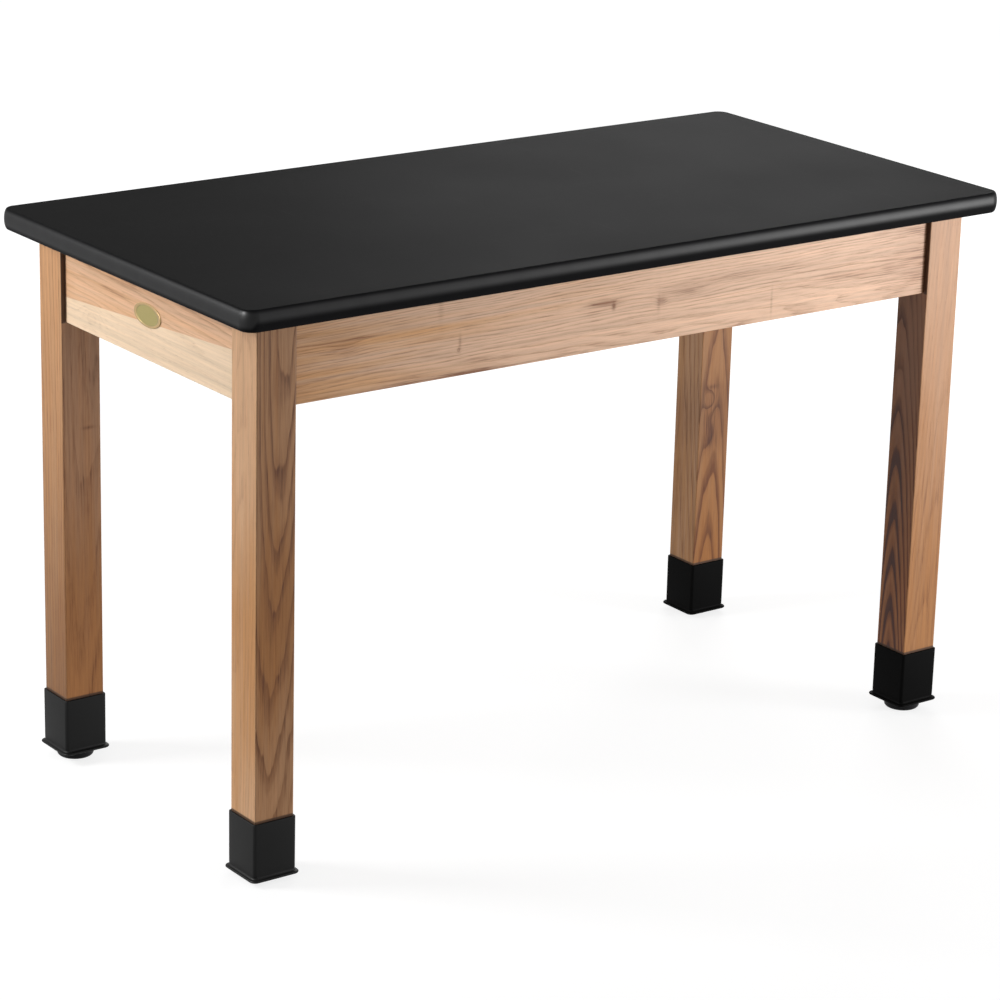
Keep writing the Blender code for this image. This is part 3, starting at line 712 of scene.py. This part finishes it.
class LabTableColours(bpy.types.PropertyGroup):
    """Colours of the finishes."""

    laminate: colour("Laminate", "Worktop", (0.009, 0.009, 0.009))
    backer: colour("Backer", "Sheet under the worktop", (0.03, 0.026, 0.023))
    chipboard: colour("Chipboard", "Worktop's core", (0.38, 0.26, 0.15))
    edging: colour("Edging", "Worktop's edging", (0.009, 0.009, 0.0095))
    boot: colour("Boot", "Boots", (0.003, 0.003, 0.003))
    glide: colour("Glide", "Glides' pads", (0.011, 0.011, 0.012))
    zinc: colour("Zinc", "Plated steel", (0.6, 0.6, 0.58))
    brass: colour("Brass", "Plate's field", (0.275, 0.225, 0.068))
    brass_rim: colour("Brass Rim", "Plate's rim", (0.36, 0.24, 0.1))
    tan: colour("Tan Ash", "Main tone of the ash", (0.66, 0.41, 0.255))
    honey: colour("Honey Ash", "Warmer tone of the ash", (0.5, 0.25, 0.095))
    sapwood: colour("Sapwood", "Pale strip of the left end apron", (0.86, 0.65, 0.45))
    band: colour("Growth Band", "Tint of the dark band in each ring", (0.41, 0.28, 0.17))
    # The pores' tint also darkens the painted shade over the boots' rims and at the aprons' ends.
    pore: colour("Pores", "Tint of the open pores and of stains", (0.38, 0.26, 0.18))
    # Tint of the painted shade, partly grime, over the boots' rims and where aprons and legs meet.
    shade_and_grime: colour("Grime", "Dirt in the corners between pieces", (0.05, 0.024, 0.012))
    rubbed: colour("Rubbed Edge", "Ash where handling has polished an edge", (0.62, 0.42, 0.27))


class LabTableStudio(bpy.types.PropertyGroup):
    """Lights and floor."""

    fill: number("Fill", "Strength of the even light all round", 0.32, "NONE")
    left_power: number("Left Light", "Power of the light behind the left end", 37.0, "POWER")
    right_power: number("Right Light", "Power of the light before the right end", 80.0, "POWER")
    back_power: number("Back Light", "Power of the light behind the right end", 40.0, "POWER")
    gleam_power: number("Gleam Light", "Power of the light that only reflections show", 200.0, "POWER")
    floor_size: number("Floor Size", "Width of the floor", 60.0)


# One operator for each group of pieces


def zinc(scene):
    """The zinc plating of every steel piece, made on its first use."""
    name = "zinc_plating"
    return bpy.data.materials.get(name) or zinc_finish(name, scene.lab_table_colours.zinc)


def middle_of(low, high):
    """The middle of a box."""
    return np.array((low + high) / 2)


class LABTABLE_OT_worktop(bpy.types.Operator):
    """Finish the laminate, core and backer, and make the domed edging"""

    bl_idname = "labtable.worktop"
    bl_label = "Worktop"

    def execute(self, context):
        sizes = context.scene.lab_table_sizes
        colours = context.scene.lab_table_colours
        dress("worktop_laminate", laminate_finish("laminate_face", colours.laminate, 0.52))
        dress("worktop_backer", laminate_finish("backer_sheet", colours.backer, 0.62))
        dress("worktop_core", chipboard_finish("chipboard", colours.chipboard))
        sheen_heights = (EDGING_LOW.z, EDGING_HIGH.z)
        finish = moulded_finish("edging_vinyl", colours.edging, 0.4, 900, 0.00003, 0.01, sheen_heights)
        rings = self.edging_rings(sizes)
        add_piece("edging_band", rings, finish, "worktop_edging", looped=True)
        return {"FINISHED"}

    def edging_rings(self, sizes):
        """The section carried round the worktop's outline.

        Its outer face is a dome, inset = crown * (1 - cos(a)) at height half * sin(a), between two lips
        with an eased inner edge, and a barbed tongue runs into the core.
        """
        half_height = (EDGING_HIGH.z - EDGING_LOW.z) / 2
        joint_gap = 0.0003
        depth = EDGING_HIGH.x - LAMINATE_HIGH.x - joint_gap
        ease = sizes.lip_ease
        turn = np.pi / 2 * np.sin(np.linspace(-np.pi / 2, np.pi / 2, 49))
        dome = np.stack([sizes.crown * (1 - np.cos(turn)), half_height * np.sin(turn)], -1)
        lip = arc((depth - ease, half_height - ease), (ease, ease), 90, 0, 4)
        tongue = [(0.0, 0.0011), (0.0019, 0.0016), (0.0041, 0.0011), (0.0063, 0.0016), (0.0085, 0.0011)]
        upper = np.concatenate([lip, np.array(tongue) + (depth, 0.0)])
        inset, height = np.concatenate([dome, upper, upper[::-1] * (1, -1)]).T
        middle = (EDGING_HIGH.z + EDGING_LOW.z) / 2
        half_x, half_y = EDGING_HIGH.x - inset, EDGING_HIGH.y - inset
        return carried_round(half_x, half_y, sizes.corner_radius - inset, middle + height, 24)


class LABTABLE_OT_legs(bpy.types.Operator):
    """Finish the four ash legs"""

    bl_idname = "labtable.legs"
    bl_label = "Legs"

    def execute(self, context):
        for corner in CORNERS:
            name = "leg_" + corner
            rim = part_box("boot_" + corner)[1].z
            dress(name, ash(name, context.scene.lab_table_colours, rim))
        return {"FINISHED"}


class LABTABLE_OT_aprons(bpy.types.Operator):
    """Finish the four ash aprons"""

    bl_idname = "labtable.aprons"
    bl_label = "Aprons"

    def execute(self, context):
        for side in ("front", "right", "rear", "left"):
            name = "apron_" + side
            dress(name, ash(name, context.scene.lab_table_colours))
        return {"FINISHED"}


class LABTABLE_OT_boots(bpy.types.Operator):
    """Make the four moulded boots"""

    bl_idname = "labtable.boots"
    bl_label = "Boots"

    def execute(self, context):
        sizes = context.scene.lab_table_sizes
        colour = context.scene.lab_table_colours.boot
        for corner in CORNERS:
            # The left boots get a higher specular level than the right ones: a painted reflection, so that
            # they shine more.
            specular = 0.13 if corner.endswith("left") else 0.02
            finish = moulded_finish("boot_rubber_" + corner, colour, 0.42, 650, 0.00006, specular)
            low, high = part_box("boot_" + corner)
            middle = (low + high) / 2
            rings = self.boot_rings(sizes, high.x - middle.x, high.z - low.z) + (middle.x, middle.y, low.z)
            name = "boot_shell_" + corner
            add_piece(name, rings, finish, "boot_" + corner, looped=True)
        return {"FINISHED"}

    def boot_rings(self, sizes, rim, height):
        """A rounded square's half width and corner radius carried along a profile.

        From the bore's floor it runs up the bore, over the eased mouth, down the sleeve, out along a hollow
        flare to a rounded rim, under to the pad's recess, and in to the round hole, where the half width
        equals the corner radius.
        """
        flange, wall, floor, roof, hole = 0.0044, 0.0025, 0.0135, 0.0105, 0.00883
        bevel, ease, bore_corner = 0.0006, 0.0008, 0.0008
        sleeve = rim - flange
        bore = sleeve - wall
        recess = bore - 0.0012
        mouth = arc((sleeve - ease, height - ease), (ease, ease), 90, 0, 4)
        flare = arc((rim - 0.0013, 0.0076), (0.0031, 0.0042), 180, 270, 8)
        edge = arc((rim - 0.0015, 0.0017), (0.0015, 0.0017), 90, -90, 8)
        outer = np.concatenate([mouth, flare, edge])
        share = np.clip((0.008 - outer[:, 1]) / 0.004, 0, 1)
        outer_radius = sizes.boot_corner + (sizes.flange_corner - sizes.boot_corner) * share
        inner = [(bore, floor), (bore, height)]
        under = [(recess + bevel, 0.0), (recess, bevel), (recess, roof), (hole, roof), (hole, floor)]
        half_width, level = np.concatenate([inner, outer, under]).T
        under_radius = [sizes.boot_corner] * 3 + [hole] * 2
        radius = np.concatenate([[bore_corner] * 2, outer_radius, under_radius])
        return carried_round(half_width, half_width, radius, level, 8)


class LABTABLE_OT_glides(bpy.types.Operator):
    """Make the glides' pads and threaded stems, and finish the inserts they screw into"""

    bl_idname = "labtable.glides"
    bl_label = "Glides"

    def execute(self, context):
        pitch = context.scene.lab_table_sizes.glide_pitch
        black = context.scene.lab_table_colours.glide
        nylon = moulded_finish("glide_nylon", black, 0.34, 1200, 0.00003, 0.08)
        steel = zinc(context.scene)
        for corner in CORNERS:
            pad, stem = "glide_pad_" + corner, "glide_stem_" + corner
            low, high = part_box(pad)
            middle = (low + high) / 2
            rings = self.pad_rings((high.x - low.x) / 2, high.z - low.z) + (middle.x, middle.y, low.z)
            add_piece("pad_foot_" + corner, rings, nylon, pad, "pad_" + corner)
            low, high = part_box(stem)
            rings = self.stem_rings(pitch, low.z, high.z) + (middle.x, middle.y, 0.0)
            add_piece("stem_rod_" + corner, rings, steel, stem, "stem_" + corner)
            dress("insert_" + corner, steel)
        return {"FINISHED"}

    def pad_rings(self, radius, height):
        """A turned foot with a grooved sole, and a pocket for the stem's collar."""
        rounding, ease, neck, pocket, roof = 0.005, 0.0012, 0.0048, 0.0088, 0.0066
        sole = [(0.012, 0.0), (0.0124, 0.0004), (0.0136, 0.0004), (0.014, 0.0)]
        edge = arc((radius - rounding, rounding), (rounding, rounding), -90, 0, 10)
        top = arc((radius - ease, height - ease), (ease, ease), 0, 90, 4)
        throat = [(neck + ease, height), (neck, height - ease), (neck, roof)]
        profile = [sole, edge, top, throat, [(pocket, roof), (pocket, 0.004)]]
        return turned(np.concatenate(profile), 72)

    def stem_rings(self, pitch, low, high):
        """A round collar and neck, a hexagon with eased corners, and a threaded shank."""
        collar, neck, radius, flats, steps = 0.0085, 0.0045, 0.00476, 0.0127, 48
        step, hex_low, hex_high, bevel = low + 0.002, 0.0143, 0.0193, 0.0012
        foot = turned([(collar, low), (collar, step), (neck, step), (neck, hex_low)], steps)
        level = np.array([0.0, 0.0006, 0.0044, 0.005]) + hex_low
        spanner = np.stack([np.array([0.5, 0.56, 0.56, 0.5]) * flats, level], -1)
        heights = np.linspace(hex_high, high - bevel, 190)
        shank = threaded(radius, heights, pitch, 0.0006, hex_high + 0.001, high, steps)
        end = turned([(radius - bevel, high)], steps)
        return np.concatenate([foot, turned(spanner, steps, flats), shank, end])


BOLT_POINT, BOLT_END, WASHER_RADIUS, NUT_RADIUS = 0.001, 0.003, 0.011, 0.0073323


class LABTABLE_OT_corner_fixings(bpy.types.Operator):
    """Finish the corner brackets, and make the hanger bolts, washers and nuts"""

    bl_idname = "labtable.corner_fixings"
    bl_label = "Corner Fixings"

    def execute(self, context):
        pitch = context.scene.lab_table_sizes.bolt_pitch
        steel = zinc(context.scene)
        for corner in CORNERS:
            dress("bracket_" + corner, steel)
            bolt, washer, nut = "hanger_bolt_" + corner, "washer_" + corner, "nut_" + corner
            axis = middle_of(*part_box("leg_" + corner))
            axis[2] = middle_of(*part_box(washer))[2]
            inward = -np.sign(axis) * (1, 1, 0) / math.sqrt(2)
            start, length = self.span(bolt, axis, inward, BOLT_POINT, BOLT_END)
            rings = on_diagonal(self.bolt_rings(pitch, length), axis + inward * start, inward)
            add_piece("bolt_rod_" + corner, rings, steel, bolt)
            start = self.span(washer, axis, inward, WASHER_RADIUS, WASHER_RADIUS)[0]
            rings = on_diagonal(self.washer_rings(), axis + inward * start, inward)
            add_piece("washer_ring_" + corner, rings, steel, washer, looped=True)
            start = self.span(nut, axis, inward, NUT_RADIUS, NUT_RADIUS)[0]
            rings = on_diagonal(self.nut_rings(), axis + inward * start, inward)
            add_piece("nut_hex_" + corner, rings, steel, nut, looped=True)
        return {"FINISHED"}

    def span(self, node, axis, inward, start_radius, end_radius):
        """How far from the leg's middle a fastener on the diagonal starts, and how long it is.

        Each end's middle lies radius / sqrt(2) inside its box along X and along Y.
        """
        reach = ((np.array(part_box(node)) - axis) * np.sign(inward))[:, :2]
        low, high = reach.min(axis=0).max(), reach.max(axis=0).max()
        start = low * math.sqrt(2) + start_radius
        return start, high * math.sqrt(2) - end_radius - start

    def bolt_rings(self, pitch, length):
        """A threaded rod with a point at one end and a bevel at the other."""
        steps = 36
        point, end = turned([(BOLT_POINT, 0.0)], steps), turned([(BOLT_END, length)], steps)
        heights = np.linspace(0.006, length - 0.001, 270)
        return np.concatenate([point, threaded(0.004, heights, pitch, 0.0005, 0.006, length, steps), end])

    def washer_rings(self):
        """A flat ring with one edge rounded by the press."""
        hole, thickness, edge = 0.0043, 0.0016, 0.0004
        rounding = arc((WASHER_RADIUS - edge, thickness - edge), (edge, edge), 0, 90, 3)
        profile = [[(hole, 0.0), (WASHER_RADIUS, 0.0)], rounding, [(hole, thickness)]]
        return turned(np.concatenate(profile), 48)

    def nut_rings(self):
        """A hexagon with eased corners round a bored hole."""
        cone = [(0.0067, 0.0), (0.00735, 0.0006), (0.00735, 0.0057), (0.0069, 0.0062), (0.0063, 0.0067)]
        bore = [(0.005, 0.0067), (0.0043, 0.006), (0.0043, 0.0007), (0.005, 0.0)]
        return np.concatenate([turned(cone, 48, 0.0127), turned(bore, 48)])


class LABTABLE_OT_clips(bpy.types.Operator):
    """Finish the clips, and make the cross-recessed screws"""

    bl_idname = "labtable.clips"
    bl_label = "Clips"

    def execute(self, context):
        steel = zinc(context.scene)
        for label in CLIPS:
            dress("clip_" + label, steel)
            low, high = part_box("screw_" + label)
            middle = (low + high) / 2
            rings = self.screw_rings() + (middle.x, middle.y, low.z)
            add_piece("screw_pan_" + label, rings, steel, "screw_" + label)
        return {"FINISHED"}

    def screw_rings(self):
        """A pan head with a cross recess, under a threaded and pointed shank.

        The head's face, which looks down, rises by 0.0018 * (r / R)^3 from its middle to its rim. The
        recess rises into it where x or y is near 0, by a depth that grows towards the middle.
        """
        head_radius, arm, half_slot, steps = 0.0042, 0.0026, 0.00055, 48
        radius = np.linspace(0.0002, head_radius, 22)[:, None]
        x, y = np.moveaxis(abs(rounds(radius, 0.0, steps))[..., :2], -1, 0)
        narrow, wide = np.minimum(x, y), np.maximum(x, y)
        inside = np.clip((half_slot - narrow) / 0.0002, 0, 1) * np.clip((arm - wide) / 0.0003, 0, 1)
        recess = inside * (0.0004 + 0.0009 * np.clip(1 - wide / arm, 0, 1))
        head = rounds(radius, 0.0018 * (radius / head_radius) ** 3 + recess, steps)
        heights = np.linspace(0.0026, 0.015, 90)
        shank = threaded(0.002, heights, 0.0012, 0.0005, 0.003, 0.016, steps)
        rim, point = turned([(head_radius, 0.0024)], steps), turned([(0.00025, 0.0189)], steps)
        return np.concatenate([head, rim, shank, point])


class LABTABLE_OT_plate(bpy.types.Operator):
    """Make the blank oval plate"""

    bl_idname = "labtable.plate"
    bl_label = "Oval Plate"

    def execute(self, context):
        sizes = context.scene.lab_table_sizes
        colours = context.scene.lab_table_colours
        low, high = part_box("oval_plate")
        centre = (low + high) / 2
        half_along, half_up = (high.y - low.y) / 2, (high.z - low.z) / 2
        finish = brass_finish("plate_brass", colours.brass, colours.brass_rim, centre, half_along, half_up)
        rings = self.plate_rings(sizes.plate_rim, half_along, half_up, high.x - low.x)
        rings = rings + (high.x, centre.y, centre.z)
        add_piece("plate_oval", rings, finish, "oval_plate")
        return {"FINISHED"}

    def plate_rings(self, rim, half_along, half_up, thickness):
        """Ellipses inset from the plate's edge, (a cos t, b sin t), each at its own height.

        They make a rounded rim and, a step lower, a field that rises by 0.0002 * sqrt(share of the way in).
        """
        step, sunk, rise = 0.0004, 0.0003, 0.0002
        edge = arc((0.0005, thickness - 0.0004), (0.0005, 0.0004), 180, 90, 4)
        fall = [(rim, thickness), (rim + step, thickness - sunk)]
        share = np.linspace(0.0, 1.0, 9)[1:]
        inward = rim + step + share * (half_up - rim - 0.0006)
        field = np.stack([inward, thickness - sunk + rise * share**0.5], -1)
        inset, out = np.concatenate([[(0.0, 0.0)], edge, fall, field]).T[:, :, None]
        turn = full_turn(96)
        along = (half_along - inset * half_along / half_up) * np.cos(turn)
        up = (half_up - inset) * np.sin(turn)
        return np.stack(np.broadcast_arrays(-out, along, up), -1)


class LABTABLE_OT_studio(bpy.types.Operator):
    """Set up the floor, the lights, the background and the camera"""

    bl_idname = "labtable.studio"
    bl_label = "Studio"

    def execute(self, context):
        studio = context.scene.lab_table_studio
        self.floor(studio)
        self.background(context.scene, studio)
        self.lamp("left_light", studio.left_power, (-2.2, 1.1, 1.4), (-0.55, 0.0, 0.6), 0.8)
        self.lamp("right_light", studio.right_power, (2.5, -2.3, 0.5), (0.45, -0.3, 0.7), 0.9)
        self.lamp("back_light", studio.back_power, (2.3, 2.3, 1.7), (0.3, 0.0, 0.75), 1.6)
        gleam = self.lamp("gleam_light", studio.gleam_power, (-2.93, 0.1, 1.76), (-0.6, -0.3, 0.75), 0.3)
        gleam.visible_diffuse = False
        self.camera(context.scene)
        context.scene.view_settings.view_transform = "Standard"
        return {"FINISHED"}

    def floor(self, studio):
        """A plain pale floor, which glows so that it is seen as white except in the table's shadow."""
        half = studio.floor_size / 2
        mesh = bpy.data.meshes.new("floor")
        corners = [(-half, -half, 0), (half, -half, 0), (half, half, 0), (-half, half, 0)]
        mesh.from_pydata(corners, [], [(0, 1, 2, 3)])
        made = Finish("floor_paint")
        seen = made.seen()
        away = made.out("ShaderNodeVectorMath", {"operation": "LENGTH"}, {0: made.place()}, "Value")
        dark, lighting, pale, near_glow, far_glow = ((grey,) * 3 for grey in (0.0, 0.45, 0.32, 0.8, 0.92))
        glow = made.mix(away.between(1.2, 2.6), near_glow, far_glow)
        paint = made.shade(
            Base_Color=made.mix(seen, lighting, pale),
            Roughness=0.9,
            Specular_IOR_Level=0.0,
            Emission_Color=made.mix(seen, dark, glow),
            Emission_Strength=1.0,
        )
        mesh.materials.append(paint)
        new_object("floor", mesh)

    def background(self, scene, studio):
        """An even fill, which the camera, reflections and clear surfaces show as white."""
        made = Finish("studio", bpy.data.worlds, "Background")
        strength = studio.fill + (1.0 - studio.fill) * made.seen()
        scene.world = made.shade(Color=(1.0, 1.0, 1.0, 1.0), Strength=strength)

    def lamp(self, name, power, place, target, size):
        """A square soft light at a place, turned to a target."""
        light = bpy.data.lights.new(name, "AREA")
        light.shape = "SQUARE"
        light.size = size
        light.energy = power
        lamp = new_object(name, light)
        lamp.location = place
        x, y, z = np.subtract(target, place)
        lamp.rotation_euler = (math.atan2(math.hypot(x, y), -z), 0.0, math.atan2(-x, y))
        lamp.visible_camera = False
        return lamp

    def camera(self, scene):
        """The camera at the photograph's angle."""
        data = bpy.data.cameras.new("camera")
        data.sensor_width = 36.0
        data.lens = 129.3
        camera = new_object("camera", data)
        camera.rotation_mode = "YXZ"
        camera.rotation_euler = [math.radians(angle) for angle in (71.678, -4.5, -31.646)]
        camera.location = (-2.786, -3.7703, 1.8849)
        scene.camera = camera


OPERATORS = (
    LABTABLE_OT_worktop,
    LABTABLE_OT_legs,
    LABTABLE_OT_aprons,
    LABTABLE_OT_boots,
    LABTABLE_OT_glides,
    LABTABLE_OT_corner_fixings,
    LABTABLE_OT_clips,
    LABTABLE_OT_plate,
    LABTABLE_OT_studio,
)


class LABTABLE_PT_panel(bpy.types.Panel):
    """Lists the table's pieces, sizes and colours"""

    bl_idname = "LABTABLE_PT_panel"
    bl_label = "Lab Table"
    bl_space_type = "VIEW_3D"
    bl_region_type = "UI"
    bl_category = "Lab Table"

    def draw(self, context):
        for operator in OPERATORS:
            self.layout.operator(operator.bl_idname)
        for name, group in GROUPS.items():
            for key in group.__annotations__:
                self.layout.prop(getattr(context.scene, name), key)


GROUPS = {
    "lab_table_sizes": LabTableSizes,
    "lab_table_colours": LabTableColours,
    "lab_table_studio": LabTableStudio,
}


def register():
    """Register the classes and attach the property groups to the scene."""
    for name, group in GROUPS.items():
        bpy.utils.register_class(group)
        setattr(bpy.types.Scene, name, bpy.props.PointerProperty(type=group))
    for made in (*OPERATORS, LABTABLE_PT_panel):
        bpy.utils.register_class(made)


def unregister():
    """Undo register."""
    for made in reversed((*OPERATORS, LABTABLE_PT_panel)):
        bpy.utils.unregister_class(made)
    for name, group in GROUPS.items():
        delattr(bpy.types.Scene, name)
        bpy.utils.unregister_class(group)


def main():
    """Make every piece and the studio."""
    register()
    bpy.ops.labtable.worktop()
    bpy.ops.labtable.legs()
    bpy.ops.labtable.aprons()
    bpy.ops.labtable.boots()
    bpy.ops.labtable.glides()
    bpy.ops.labtable.corner_fixings()
    bpy.ops.labtable.clips()
    bpy.ops.labtable.plate()
    bpy.ops.labtable.studio()


if __name__ == "__main__":
    main()
